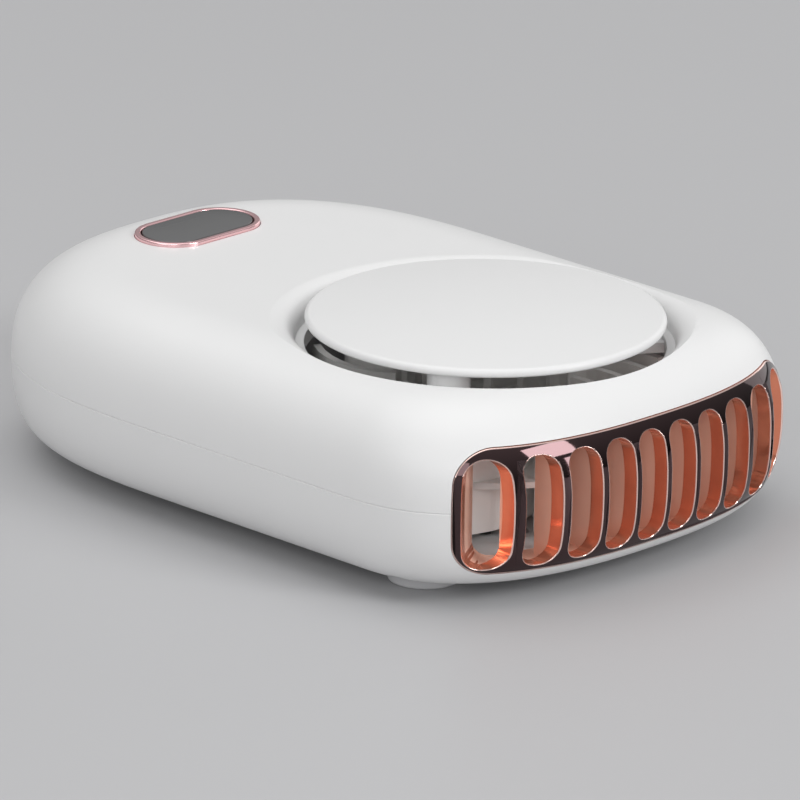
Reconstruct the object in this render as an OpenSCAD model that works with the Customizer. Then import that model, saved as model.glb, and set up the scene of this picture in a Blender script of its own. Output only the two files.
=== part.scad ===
// Pocket neck fan: a two-shell body that lies on three feet, with a round
// air intake on top, a curved outlet grille at the front and an oval button.
// +Z is up, -Y is the outlet end. The origin is on the table, at the middle of the whole fan.

/* [Body] */
// Width across the long sides
body_width = 70; // [70:0.5:78]
// Length from the outlet end to the button end
body_length = 102; // [100:1:112]
// Thickness of the body without its feet
body_height = 23.7; // [22.5:0.1:28]
// Length of the rounded outlet end
front_round = 22.9; // [20:0.1:26]
// Squareness of the outlet end, where 2 is an ellipse
front_squareness = 2.46; // [2.2:0.01:2.8]
// Length of the rounded button end
back_round = 41.9; // [36:0.1:46]
// Squareness of the button end
back_squareness = 2.61; // [2.3:0.01:2.9]
// Height of the parting line, where the body is widest
parting_height = 10.8; // [10:0.1:12.5]
// How far the top edge leans in
top_reach = 13; // [11:0.1:14]
// Fullness of the top edge
top_fullness = 2.32; // [2.2:0.01:2.6]
// How far the bottom edge leans in
bottom_reach = 6; // [5:0.1:7]
// Fullness of the bottom edge
bottom_fullness = 2.6; // [2.3:0.01:2.9]
// Wall of both shells
wall = 1.6; // [1.4:0.1:1.9]
// Height of the lip that keys the shells together
lip_height = 1; // [0.6:0.1:1.4]
// Wall of that lip
lip_wall = 0.8; // [0.6:0.1:1]

/* [Intake] */
// Distance from the outlet end to the fan's axis
fan_from_front = 32.5; // [31.5:0.1:34]
// Radius of the round intake throat
throat_radius = 23.1; // [22.5:0.1:23.7]
// Width of the flat ledge round the throat
throat_ledge = 1.15; // [0.8:0.05:1.5]
// How far the dished edge spreads outside the ledge
dish_reach = 3.8; // [3:0.1:4.6]
// How deep the dished edge runs down
dish_depth = 2.95; // [2.4:0.05:3.3]
// Radius of the floating cover disc
cover_radius = 23.1; // [22.4:0.1:23.8]
// Thickness of the cover at its edge
cover_edge = 1.7; // [1.2:0.1:2]
// Extra height of the cover at its middle
cover_dome = 0.35; // [0.2:0.05:0.8]
// Height of the cover's underside over the top of the body
cover_lift = -0.1; // [-0.4:0.1:0.6]
// Radius of each post that carries the cover
post_radius = 2.75; // [2.2:0.05:3]
// Number of posts
post_count = 3; // [3:1:5]
// Length of the pin under each post
post_pin_length = 0.9; // [0.6:0.1:1]

/* [Outlet grille] */
// Number of slots
slot_count = 10; // [8:1:10]
// Distance from slot to slot at the middle of the outlet
slot_pitch = 5.38; // [5.3:0.01:5.4]
// Width of the slots at the middle of the outlet
slot_width = 4.42; // [4.2:0.01:4.5]
// Height of the slots
slot_height = 14.3; // [12.5:0.1:14.4]
// Height of the bottom of the slots over the underside of the body
slot_bottom = 3.1; // [3:0.1:3.6]
// Frame above the slots
grille_top_rail = 1.3; // [1.1:0.1:1.4]
// Frame below the slots
grille_bottom_rail = 0.8; // [0.7:0.1:0.9]
// Frame beside the outermost slots
grille_end_rail = 1.2; // [1.1:0.05:1.4]
// How far the frame's ends stand behind its front
grille_end_back = 8.7; // [8.4:0.1:9]
// Turn of the frame's squared ends from straight back, in degrees
grille_end_turn = 58; // [54:1:60]
// Radius of the frame's corners
grille_corner = 4.3; // [3:0.1:4.6]
// Depth of the outlet from front to back
grille_depth = 7; // [6.2:0.1:7.2]
// Depth of the rounded slots, behind which thin vanes go on
face_depth = 2.2; // [1.8:0.1:2.6]
// Thickness of the vanes
vane_wall = 0.6; // [0.5:0.05:0.8]
// How far the face stands proud of the shells
grille_proud = 0.15; // [0.05:0.05:0.3]
// Width of the flange behind the shells that holds the grille in
grille_flange = 0.9; // [0.6:0.1:1]

/* [Button] */
// Distance from the back end to the button's centre
button_from_back = 16.7; // [15.5:0.1:18]
// Outer length of the oval trim ring
trim_length = 18.8; // [18:0.1:21]
// Outer width of the oval trim ring
trim_width = 10.5; // [10:0.1:12]
// Width of the trim ring's band
trim_band = 0.8; // [0.7:0.1:1.2]
// Height of the trim ring over the body
trim_proud = 0.5; // [0.3:0.1:0.7]
// How far the button can be pressed
button_travel = 0.4; // [0.3:0.05:0.5]

/* [Fan] */
// Radius of the impeller
impeller_radius = 23.5; // [22.8:0.1:23.8]
// Number of blades
blade_count = 17; // [13:1:19]
// Thickness of the blades
blade_wall = 1; // [0.8:0.1:1.2]
// Height of the blades' lower edge over the underside of the body
blade_bottom = 3; // [2.8:0.1:3.6]
// Height of the blades' upper edge
blade_top = 17.6; // [16:0.1:18]
// Angle that each blade sweeps back from hub to tip
blade_sweep = 34; // [20:1:44]
// Radius of the motor shaft
shaft_radius = 1; // [0.8:0.05:1.1]
// Radius of the stator
stator_radius = 8.6; // [8:0.1:8.8]

/* [Power] */
// Space between the battery and the side walls
battery_side_gap = 10.9; // [10.4:0.1:13.4]
// Space between the battery and the scroll wall
battery_front_gap = 0.9; // [0.7:0.1:3]
// Space between the battery and the strap pocket
battery_back_gap = 2.4; // [2.2:0.1:4]
// Thickness of the battery
battery_height = 9.5; // [8:0.1:10]
// Width of the charging socket
socket_width = 8.9; // [8.9:0.1:9.1]
// Height of the charging socket
socket_height = 3.2; // [3.1:0.1:3.4]

/* [Feet and strap] */
// Height of the feet under the body
foot_height = 2.5; // [2:0.1:3.5]
// Radius of the feet
foot_radius = 4.75; // [4:0.05:5]
// Radius of the pin that a neck strap loops round
strap_pin_radius = 0.9; // [0.7:0.05:1]

/* [Hidden] */
$fn = 64;
// Cuts run past the faces that they leave by this much
overrun = 1;
// Solids that become one moulding overlap by this much
weld = 0.2;
// Gap between pieces that are pushed together by hand
fit_gap = 0.1;
// Radial gap of a shaft in its bearing
running_gap = 0.03;
// Gap between pieces that move past each other
moving_gap = 0.3;
// Points on each quarter of the body's outline, and rings on each edge curve
quarter_steps = 13;
edge_steps = 8;
quarter_turn = 90;
full_turn = 4 * quarter_turn;

// Body
half_width = body_width / 2;
front_y = (grille_proud - body_length) / 2;
back_y = front_y + body_length;
fan_y = front_y + fan_from_front;
front_start = front_y + front_round;
back_start = back_y - back_round;
ceiling = body_height - wall;

// Intake
// The posts stand this far inside the throat
post_inset = 1.65;
post_circle = throat_radius - post_radius - post_inset;
throat_wall = 1.2;
throat_length = 1.9;
dish_bottom = body_height - dish_depth;
throat_bottom = dish_bottom - throat_length;
dish_steps = 8;
lug_rim = 0.6;
lug_drop = 0.6;
lug_radius = post_radius + lug_rim;
lug_top = dish_bottom - lug_drop;
cover_soft = 0.5;
cover_middle_share = 0.9;
post_pin_radius = post_radius / 2;
post_start_angle = quarter_turn;

// Grille
slot_top = slot_bottom + slot_height;
grille_bottom = slot_bottom - grille_bottom_rail;
grille_top = slot_top + grille_top_rail;
slot_corner_share = 0.44;
// Slots grow wider and further apart towards the ends, as the face turns away there
slot_spread_share = 0.0044;
slot_widen_share = 0.009;
slot_facets = 24;
// The outermost slots reach this much further out, up to the frame's ends
end_slot_reach = 0.48;

// Scroll round the fan
scroll_wall = 1;
scroll_top = 19.2;
scroll_start_radius = 27.2;
scroll_end_radius = 29.2;
scroll_start_angle = 58.5;
scroll_steps = 48;
scroll_back_y = fan_y + scroll_end_radius + scroll_wall;

// Feet and strap
foot_recess = 0.6;
foot_edge = 0.4;
foot_side_inset = 12.5;
foot_front_inset = 20.7;
foot_back_inset = 15.7;
foot_side = half_width - foot_side_inset;
foot_front_y = front_y + foot_front_inset;
foot_back_y = back_y - foot_back_inset;
foot_places = [[-foot_side, foot_front_y], [foot_side, foot_front_y], [0, foot_back_y]];
strap_pocket = [10, 5.2];
strap_pocket_depth = 4.4;
strap_pocket_wall = 1.2;
strap_pocket_inset = 7.2;
strap_pocket_y = back_y - strap_pocket_inset;
strap_pin_grip = 0.9;
strap_pin_cover = 0.9;
strap_pin_height = strap_pin_radius + strap_pin_cover;

// Button
button_y = back_y - button_from_back;
trim_depth = 1;
button_gap = 0.2;
button_pad = 2.4;
button_length = trim_length - 2 * trim_band - 2 * button_gap;
button_width = trim_width - 2 * trim_band - 2 * button_gap;
button_proud = 0.25;
button_flange = 0.8;
button_flange_rim = 1;
flange_top = body_height - button_pad - moving_gap;
stem_radius = 2;

// Circuit board
board_top = 15;
board_wall = 1.2;
board_bottom = board_top - board_wall;
board_front_gap = 2;
board_back_gap = 5.4;
board_side_gap = 17;
board_front_y = scroll_back_y + board_front_gap;
board_back_y = back_y - board_back_gap;
board_width = body_width - 2 * board_side_gap;
board_tail_share = 0.25;
board_tail_length = board_tail_share * (board_back_y - board_front_y);
board_tail_width = 20;
board_corner = 1.5;
board_screw_radius = 0.8;
board_screw_head = 1.5;
board_screw_head_height = 0.9;
board_screw_length = 4.5;
board_boss_radius = 2.2;
board_screw_places = [[-board_width / 2 + board_boss_radius, board_front_y + board_boss_radius],
    [board_width / 2 - board_boss_radius, board_front_y + board_boss_radius],
    [-board_width / 2 + board_boss_radius, board_back_y - board_tail_length - board_boss_radius],
    [board_width / 2 - board_boss_radius, board_back_y - board_tail_length - board_boss_radius]];
chip = [5, 4, 1.1];
choke = [5.5, 5.5, 2.8];
small_chip = [1.6, 3, 0.9];
small_chip_side = 4.8;
chip_gap = 1;
chip_row_y = board_front_y + 2 * board_boss_radius + chip_gap + choke[1] / 2;
switch_side = 6;
switch_height = 3.1;
plunger_radius = 1.7;
plunger_height = 0.9;
plunger_top = board_top + switch_height + moving_gap + plunger_height;

// Charging socket
socket_length = 7.4;
socket_wall = 0.3;
socket_mouth_depth = 1.3;
socket_mouth_y = back_y - socket_mouth_depth;
socket_corner_share = 0.48;
socket_corner = socket_corner_share * socket_height;
tongue_width = 6.6;
tongue_height = 0.7;
tongue_length = 5.6;
socket_middle = board_top + socket_height / 2;

// Battery
battery_gap = 0.3;
battery_width = 2 * (half_width - wall - battery_side_gap);
battery_front_y = scroll_back_y + battery_front_gap;
battery_back_y = strap_pocket_y - strap_pocket[1] / 2 - strap_pocket_wall - battery_back_gap;
battery_length = battery_back_y - battery_front_y;
battery_y = (battery_front_y + battery_back_y) / 2;
battery_corner = 2;
battery_pad_size = [18, 9];
battery_rib = 1;
battery_rib_height = 4;

// Shell screws
post_wall_radius = 2.6;
screw_radius = 1;
screw_hole_radius = 1.15;
screw_head_radius = 1.9;
screw_head_height = 1.2;
screw_head_hole = 2.15;
screw_seat = 3;
screw_length = 10;
screw_side_inset = 5.5;
screw_front_inset = 17.5;
screw_back_inset = 7;
screw_front_side = half_width - screw_side_inset;
screw_front_y = front_y + screw_front_inset;
screw_back_side = half_width / 2;
screw_back_y = back_y - screw_back_inset;
screw_places = [[-screw_front_side, screw_front_y], [screw_front_side, screw_front_y],
    [-screw_back_side, screw_back_y], [screw_back_side, screw_back_y]];
drive_radius = 0.8;
drive_depth = 0.6;

// Motor
pad_radius = 10.4;
pad_wall = 0.8;
pad_top = wall + pad_wall;
base_radius = 10;
base_wall = 0.8;
base_top = pad_top + base_wall;
tube_radius = 3.4;
bearing_radius = 2.5;
bearing_bore = shaft_radius + running_gap;
bearing_height = 1.7;
tube_top = 8;
washer_wall = 0.3;
shaft_bottom = base_top + washer_wall;
tube_shoulder_radius = 4.2;
motor_board_radius = 6.9;
motor_board_wall = 0.8;
motor_screw_circle = 8.5;
motor_screw_radius = 0.7;
motor_screw_head = 1.2;
motor_screw_head_height = 0.6;
motor_screw_length = 2;
motor_screw_count = 3;
stator_bottom = 4.6;
stator_top = 7.8;
stator_teeth = 9;
tooth_neck = 1.4;
tooth_tip = 0.8;
stator_hub = 4.9;
tip_gap_angle = 9;
tip_steps = 3;
coil_wall = 0.8;
magnet_gap = 0.4;
magnet_wall = 1.2;
magnet_inner = stator_radius + magnet_gap;
magnet_outer = magnet_inner + magnet_wall;
magnet_bottom = 4.3;
cup_wall = 0.5;
cup_top = 8.9;
cup_bottom = 4.1;
hub_wall = 1.2;
hub_inner = magnet_outer + cup_wall;
hub_outer = hub_inner + hub_wall;
hub_top = cup_top + hub_wall;
plate_wall = 0.8;
plate_rise = 0.2;
plate_bottom = cup_top + plate_rise;
shaft_top = hub_top;

// Vents and blades
vent_count = 24;
vent_width = 1.8;
vent_gap = 1.4;
vent_inner = pad_radius + vent_gap;
vent_outer = 19.4;
blade_steps = 8;
// How late along its length a blade starts to sweep back
blade_curl = 1.4;

// The body's outline at a given inset: two half superellipses and straight sides
function outline(inset, z) = concat(
    [for (i = [0:2 * quarter_steps])
        let (a = i * quarter_turn / quarter_steps, c = cos(a), s = sin(a))
            [sign(c) * (half_width - inset) * pow(abs(c), 2 / back_squareness),
             back_start + (back_round - inset) * pow(abs(s), 2 / back_squareness), z]],
    [for (i = [0:2 * quarter_steps])
        let (a = (2 + i / quarter_steps) * quarter_turn, c = cos(a), s = sin(a))
            [sign(c) * (half_width - inset) * pow(abs(c), 2 / front_squareness),
             front_start - (front_round - inset) * pow(abs(s), 2 / front_squareness), z]]);

// Height and inset of each ring on the edge curves, from a start inset
function upper_levels(start, top) = [for (i = [0:edge_steps])
    let (t = quarter_turn * i / edge_steps)
        [parting_height + (top - parting_height) * pow(sin(t), 2 / top_fullness),
         start + (top_reach - start) * (1 - pow(cos(t), 2 / top_fullness))]];
function lower_levels(start, bottom) = [for (i = [edge_steps:-1:0])
    let (t = quarter_turn * i / edge_steps)
        [parting_height - (parting_height - bottom) * pow(sin(t), 2 / bottom_fullness),
         start + (bottom_reach - start) * (1 - pow(cos(t), 2 / bottom_fullness))]];

function both_levels(upper, lower) = concat(lower, [for (i = [1:edge_steps]) upper[i]]);

// A solid through one outline ring per level, from the lowest level up
module loft(levels) {
    rings = [for (level = levels) outline(level[1], level[0])];
    count = len(rings[0]);
    last = len(rings) - 1;
    sides = [for (k = [0:last - 1], i = [0:count - 1])
        let (j = (i + 1) % count, low = k * count, high = low + count)
            each [[low + i, high + i, high + j], [low + i, high + j, low + j]]];
    polyhedron(points = [for (ring = rings) each ring],
        faces = concat(sides, [[for (i = [0:count - 1]) i]],
            [[for (i = [count - 1:-1:0]) last * count + i]]));
}

module upper_skin() loft(upper_levels(0, body_height));
module lower_skin() loft(lower_levels(0, 0));
module whole_skin(grow) loft(both_levels(upper_levels(-grow, body_height), lower_levels(-grow, 0)));

// The hollow inside each shell, run past the parting line
module upper_hollow() loft(concat([[parting_height - overrun, wall]], upper_levels(wall, ceiling)));
module lower_hollow() loft(concat(lower_levels(wall, wall), [[parting_height + overrun, wall]]));

// What fills the hollow of both shells but for a gap
module hollow_fill(gap) loft(both_levels(upper_levels(wall + gap, ceiling - gap),
    lower_levels(wall + gap, wall + gap)));

// The room for the scroll wall: it runs into the rear shell and stays clear of the front shell
module scroll_room() loft(concat(lower_levels(wall - weld, wall - weld),
    upper_levels(wall + fit_gap, ceiling - fit_gap)));

// Upright prism of the body's outline between two heights
module outline_prism(inset, low, high) loft([[low, inset], [high, inset]]);

module on_feet() translate([0, 0, foot_height]) children();
module at_fan() translate([0, fan_y, foot_height]) children();

module ring(inner, outer, low, high) {
    translate([0, 0, low]) difference() {
        cylinder(r = outer, h = high - low);
        translate([0, 0, -overrun]) cylinder(r = inner, h = high - low + 2 * overrun);
    }
}

module disc(radius, low, high) translate([0, 0, low]) cylinder(r = radius, h = high - low);

module stadium(length, width) {
    square([length - width, width], center = true);
    for (side = [-1, 1]) translate([side * (length - width) / 2, 0]) circle(d = width);
}

module rounded_square(length, width, corner) {
    square([length - 2 * corner, width], center = true);
    square([length, width - 2 * corner], center = true);
    for (x = [-1, 1], y = [-1, 1])
        translate([x * (length / 2 - corner), y * (width / 2 - corner)]) circle(r = corner);
}

// Place of a slot's middle and its width, for a count of slots from the middle of the outlet
function slot_middle(u) = slot_pitch * u * (1 + slot_spread_share * u * u);
function slot_span(u) = slot_width * (1 + slot_widen_share * u * u);
function slot_corner(u) = slot_corner_share * slot_span(u);
function slot_edge(u, side) = slot_middle(u) + side * slot_span(u) / 2;
function bar_middle(u) = (slot_edge(u, 1) + slot_edge(u + 1, -1)) / 2;
last_slot = (slot_count - 1) / 2;
grille_half_width = slot_edge(last_slot, 1) + end_slot_reach + grille_end_rail * cos(grille_end_turn);
outlet_back = screw_front_y - post_wall_radius - fit_gap;

// Pushes a flat shape, drawn across and up, through the outlet end
module through_outlet() {
    translate([0, outlet_back, 0]) rotate([quarter_turn, 0, 0])
        linear_extrude(outlet_back - front_y + overrun) children();
}

// The space between the frame's two ends, each cut square to the face there and rounded at its corners
module between_ends(rail, low, high, corner) {
    reach = 2 * grille_half_width;
    intersection_for (side = [0, 1]) mirror([side, 0, 0])
        translate([grille_half_width, front_y + grille_end_back, 0])
            rotate([quarter_turn, 0, grille_end_turn]) translate([-rail - reach / 2, (low + high) / 2, 0])
                linear_extrude(2 * reach, center = true) rounded_square(reach, high - low, corner);
}

// The opening in the shells that the grille fills, grown by a gap all round
module grille_window(gap) {
    intersection() {
        through_outlet() translate([-half_width, 0]) square([body_width, body_height]);
        between_ends(-gap, grille_bottom - gap, grille_top + gap, grille_corner + gap);
    }
}

// The rounded slots in the face
module face_slots() {
    middle = (slot_bottom + slot_top) / 2;
    through_outlet() for (u = [-last_slot:last_slot]) {
        reach = abs(u) == last_slot ? slot_span(u) : 0;
        translate([slot_middle(u) + sign(u) * reach / 2, middle])
            rounded_square(slot_span(u) + reach, slot_height, slot_corner(u), $fn = slot_facets);
    }
}

// The square spaces between the vanes, behind the face, and the room behind the vanes' flat back
module vane_spaces() {
    vane_back = front_y + grille_depth;
    intersection() {
        translate([0, face_depth, 0]) whole_skin(grille_proud);
        union() {
            through_outlet() for (u = [-last_slot:last_slot]) {
                left = u == -last_slot ? -half_width : bar_middle(u - 1) + vane_wall / 2;
                right = u == last_slot ? half_width : bar_middle(u) - vane_wall / 2;
                translate([left, slot_bottom]) square([right - left, slot_height]);
            }
            translate([-half_width, vane_back, slot_bottom])
                cube([body_width, outlet_back - vane_back, slot_height]);
        }
    }
}

// Half section of the dished intake, its ledge and its throat, grown by a wall
module dish_profile(grow, low, high) {
    ledge_radius = throat_radius + throat_ledge + grow;
    polygon(concat([[0, high], [ledge_radius + dish_reach, high]],
        [for (i = [0:dish_steps]) let (t = quarter_turn * i / dish_steps)
            [ledge_radius + dish_reach * (1 - sin(t)), dish_bottom - grow + dish_depth * cos(t)]],
        [[throat_radius + grow, dish_bottom - grow], [throat_radius + grow, low], [0, low]]));
}

module post_places() {
    for (i = [0:post_count - 1])
        rotate([0, 0, post_start_angle + i * full_turn / post_count])
            translate([post_circle, 0, 0]) children();
}

// The arm from the throat's wall that a cover post stands on, below where it meets the throat
module lug() {
    low = throat_bottom - 2 * overrun;
    reach = throat_radius + overrun - post_circle;
    disc(lug_radius, low, lug_top);
    translate([0, -lug_radius, low]) cube([reach, 2 * lug_radius, lug_top - low]);
}

module screw_posts(low, high) {
    for (place = screw_places) translate(place) disc(post_wall_radius, low, high);
}

module front_shell() color("white") on_feet() difference() {
    upper_skin();
    difference() {
        upper_hollow();
        translate([0, fan_y, 0]) rotate_extrude() dish_profile(throat_wall, throat_bottom, body_height);
        screw_posts(parting_height, body_height);
        for (place = board_screw_places) translate(place) disc(board_boss_radius, board_top, body_height);
        translate([0, button_y, body_height - button_pad]) linear_extrude(button_pad)
            stadium(trim_length + 2 * wall, trim_width + 2 * wall);
    }
    translate([0, fan_y, 0]) difference() {
        rotate_extrude() dish_profile(0, throat_bottom - overrun, body_height + overrun);
        post_places() lug();
    }
    translate([0, fan_y, 0]) post_places()
        disc(post_pin_radius + fit_gap / 2, lug_top - post_pin_length - fit_gap, lug_top + overrun);
    grille_window(fit_gap);
    translate([0, button_y, body_height - trim_depth]) linear_extrude(trim_depth + overrun)
        stadium(trim_length + 2 * fit_gap, trim_width + 2 * fit_gap);
    translate([0, button_y, body_height - button_pad - overrun]) linear_extrude(button_pad + overrun)
        stadium(trim_length - 2 * trim_band, trim_width - 2 * trim_band);
    for (place = screw_places) translate(place)
        disc(screw_radius, parting_height - overrun, screw_seat + screw_length + overrun);
    for (place = board_screw_places) translate(place)
        disc(board_screw_radius, board_top - overrun, board_bottom + board_screw_length + fit_gap);
    socket_space(fit_gap, socket_length + overrun);
}

module scroll_outline() {
    sweep = full_turn - 2 * scroll_start_angle;
    function at(i, extra) = let (a = scroll_start_angle - quarter_turn + sweep * i / scroll_steps,
        r = scroll_start_radius + (scroll_end_radius - scroll_start_radius) * i / scroll_steps + extra)
        [r * cos(a), r * sin(a)];
    polygon(concat([for (i = [0:scroll_steps]) at(i, 0)],
        [for (i = [scroll_steps:-1:0]) at(i, scroll_wall)]));
}

// The lip that stands inside the front shell and keeps the two shells in line
module key_lip() {
    difference() {
        union() {
            outline_prism(wall - weld, parting_height - lip_height, parting_height);
            outline_prism(wall + fit_gap, parting_height - lip_height, parting_height + lip_height);
        }
        outline_prism(wall + fit_gap + lip_wall, parting_height - lip_height - overrun,
            parting_height + lip_height + overrun);
        for (place = screw_places) translate(place)
            disc(post_wall_radius + 2 * fit_gap, parting_height, parting_height + lip_height + overrun);
        grille_window(grille_flange + 2 * fit_gap);
    }
}

module vents() {
    length = vent_outer - vent_inner;
    for (i = [0:vent_count - 1]) rotate([0, 0, i * full_turn / vent_count])
        translate([(vent_inner + vent_outer) / 2, 0, -overrun]) linear_extrude(wall + 2 * overrun)
            stadium(length, vent_width);
}

module battery_ribs() {
    side = 2 * (battery_gap + battery_rib);
    outer = [battery_width + side, battery_length + side];
    translate([0, battery_y, 0]) linear_extrude(wall + battery_rib_height) difference() {
        square(outer, center = true);
        square([battery_width + 2 * battery_gap, battery_length + 2 * battery_gap], center = true);
        square([battery_width / 2, outer[1] + 2 * overrun], center = true);
        square([outer[0] + 2 * overrun, battery_length / 2], center = true);
    }
}

module rear_shell() color("white") on_feet() difference() {
    union() {
        difference() {
            lower_skin();
            difference() {
                lower_hollow();
                screw_posts(0, parting_height);
                translate([0, fan_y, 0]) disc(pad_radius, 0, pad_top);
                translate([0, strap_pocket_y, 0]) linear_extrude(strap_pocket_depth + strap_pocket_wall)
                    square(strap_pocket + 2 * strap_pocket_wall * [1, 1], center = true);
                battery_ribs();
            }
        }
        key_lip();
        intersection() {
            scroll_room();
            translate([0, fan_y, wall - weld]) linear_extrude(scroll_top - wall + weld) scroll_outline();
        }
    }
    for (place = screw_places) translate(place) {
        disc(screw_head_hole, -overrun, screw_seat);
        disc(screw_hole_radius, 0, parting_height + overrun);
    }
    translate([0, fan_y, 0]) {
        vents();
        motor_screw_places()
            disc(motor_screw_radius, base_top - motor_screw_length - fit_gap, pad_top + overrun);
    }
    for (place = foot_places) translate(place) disc(foot_radius - foot_edge + fit_gap, -overrun, foot_recess);
    translate([0, strap_pocket_y, -overrun]) linear_extrude(strap_pocket_depth + overrun)
        square(strap_pocket, center = true);
    strap_pin_shape(fit_gap / 2);
    grille_window(fit_gap);
}

module outlet_grille() color([0.72, 0.45, 0.38]) on_feet() difference() {
    union() {
        intersection() {
            whole_skin(grille_proud);
            grille_window(0);
        }
        intersection() {
            hollow_fill(fit_gap);
            grille_window(grille_flange);
            difference() {
                outline_prism(0, 0, body_height);
                outline_prism(2 * wall + fit_gap, -overrun, body_height + overrun);
            }
        }
    }
    translate([0, grille_depth, 0]) outline_prism(-grille_proud, -overrun, body_height + overrun);
    intersection() {
        union() {
            face_slots();
            vane_spaces();
        }
        between_ends(grille_end_rail, slot_bottom, slot_top, slot_corner(last_slot));
    }
}

module intake_cover() color("white") at_fan() {
    low = body_height + cover_lift;
    top = low + cover_edge;
    rotate_extrude() polygon([[0, low], [cover_radius - cover_soft, low], [cover_radius, low + cover_soft],
        [cover_radius, top - cover_soft], [cover_radius - cover_soft / 3, top - cover_soft / 3],
        [cover_radius - cover_soft, top], [2 * cover_radius / 3, top + cover_dome / 2],
        [cover_radius / 3, top + cover_dome * cover_middle_share], [0, top + cover_dome]]);
    post_places() {
        disc(post_radius, lug_top, low + weld);
        disc(post_pin_radius, lug_top - post_pin_length, lug_top + weld);
    }
}

module button_trim() color([0.85, 0.55, 0.52]) on_feet() translate([0, button_y, body_height - trim_depth])
    linear_extrude(trim_depth + trim_proud) difference() {
        stadium(trim_length, trim_width);
        stadium(trim_length - 2 * trim_band, trim_width - 2 * trim_band);
    }

module power_button() color("dimgray") on_feet() translate([0, button_y, 0]) {
    face = body_height + trim_proud + button_proud;
    translate([0, 0, flange_top - weld]) linear_extrude(face - flange_top + weld)
        stadium(button_length, button_width);
    translate([0, 0, flange_top - button_flange]) linear_extrude(button_flange)
        stadium(button_length + 2 * button_flange_rim, button_width + 2 * button_flange_rim);
    disc(stem_radius, plunger_top, flange_top - button_flange + weld);
}

module switch_plunger() color("black") on_feet() translate([0, button_y, 0])
    disc(plunger_radius, plunger_top - plunger_height, plunger_top);

module switch_body() color("silver") on_feet() translate([0, button_y, board_top])
    linear_extrude(switch_height - button_travel) rounded_square(switch_side, switch_side, switch_side / 10);

module board_outline() {
    translate([0, (board_front_y + board_back_y - board_tail_length) / 2])
        rounded_square(board_width, board_back_y - board_tail_length - board_front_y, board_corner);
    translate([0, board_back_y - board_tail_length])
        rounded_square(board_tail_width, 2 * board_tail_length, board_corner);
}

module circuit_board() color("darkgreen") on_feet() difference() {
    translate([0, 0, board_bottom]) linear_extrude(board_wall) board_outline();
    for (place = board_screw_places) translate(place)
        disc(board_screw_radius + fit_gap, board_bottom - overrun, board_top + overrun);
}

module board_chips() color([0.15, 0.15, 0.16]) on_feet() translate([0, chip_row_y, board_top]) {
    translate([-board_width / 4, 0, 0]) linear_extrude(chip[2]) square([chip[0], chip[1]], center = true);
    translate([board_width / 4, 0, 0]) linear_extrude(choke[2])
        rounded_square(choke[0], choke[1], choke[0] / 5);
    for (side = [-1, 1]) translate([side * small_chip_side, 0, 0]) linear_extrude(small_chip[2])
        square([small_chip[0], small_chip[1]], center = true);
}

module board_screws() color("silver") on_feet() for (place = board_screw_places) translate(place) {
    disc(board_screw_radius, board_bottom - weld, board_bottom + board_screw_length);
    disc(board_screw_head, board_bottom - board_screw_head_height, board_bottom);
}

// The socket's outer form, grown by a gap and pulled out past the wall
module socket_space(gap, length) {
    translate([0, socket_mouth_y - socket_length, socket_middle]) rotate([-90, 0, 0])
        linear_extrude(length + socket_length)
            rounded_square(socket_width + 2 * gap, socket_height + 2 * gap, socket_corner);
}

module charging_socket() color("silver") on_feet() difference() {
    translate([0, socket_mouth_y - socket_length, socket_middle]) rotate([-90, 0, 0])
        linear_extrude(socket_length) rounded_square(socket_width, socket_height, socket_corner);
    translate([0, socket_mouth_y - tongue_length - weld, socket_middle])
        rotate([-90, 0, 0]) linear_extrude(socket_length)
            rounded_square(socket_width - 2 * socket_wall, socket_height - 2 * socket_wall,
                socket_corner - socket_wall);
}

module socket_tongue() color("black") on_feet()
    translate([0, socket_mouth_y - tongue_length - weld, socket_middle]) rotate([-90, 0, 0])
        linear_extrude(tongue_length - 2 * weld) square([tongue_width, tongue_height], center = true);

module battery_cell() color("lightsteelblue") on_feet() translate([0, battery_y, wall])
    linear_extrude(battery_height) rounded_square(battery_width, battery_length, battery_corner);

module battery_pad() color("dimgray") on_feet() translate([0, battery_y, wall + battery_height])
    linear_extrude(board_bottom - wall - battery_height)
        rounded_square(battery_pad_size[0], battery_pad_size[1], battery_corner);

module shell_screws() color("silver") on_feet() for (place = screw_places) translate(place) {
    disc(screw_radius, screw_seat - weld, screw_seat + screw_length);
    difference() {
        disc(screw_head_radius, screw_seat - screw_head_height, screw_seat);
        translate([0, 0, screw_seat - screw_head_height - overrun])
            cylinder(r = drive_radius, h = drive_depth + overrun, $fn = 6);
    }
}

module foot_pads() color("gainsboro") for (place = foot_places) translate(place) rotate_extrude()
    polygon([[0, 0], [foot_radius - foot_edge, 0], [foot_radius, foot_edge], [foot_radius, foot_height],
        [foot_radius - foot_edge, foot_height], [foot_radius - foot_edge, foot_height + foot_recess],
        [0, foot_height + foot_recess]]);

module strap_pin_shape(gap) {
    length = strap_pocket[0] + 2 * strap_pin_grip;
    translate([-length / 2 - gap, strap_pocket_y, strap_pin_height]) rotate([0, 90, 0])
        cylinder(r = strap_pin_radius + gap, h = length + 2 * gap);
}

module strap_pin() color("silver") on_feet() strap_pin_shape(0);

module motor_base() color("goldenrod") at_fan() difference() {
    union() {
        disc(base_radius, pad_top, base_top);
        disc(tube_shoulder_radius, pad_top, stator_bottom);
        disc(tube_radius, pad_top, tube_top);
    }
    disc(bearing_radius, base_top, tube_top + overrun);
    motor_screw_places() disc(motor_screw_radius + fit_gap, pad_top - overrun, base_top + overrun);
}

module motor_screw_places() {
    for (i = [0:motor_screw_count - 1]) rotate([0, 0, i * full_turn / motor_screw_count])
        translate([motor_screw_circle, 0, 0]) children();
}

module motor_board() color("darkgreen") at_fan()
    ring(tube_shoulder_radius, motor_board_radius, base_top, base_top + motor_board_wall);

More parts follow.
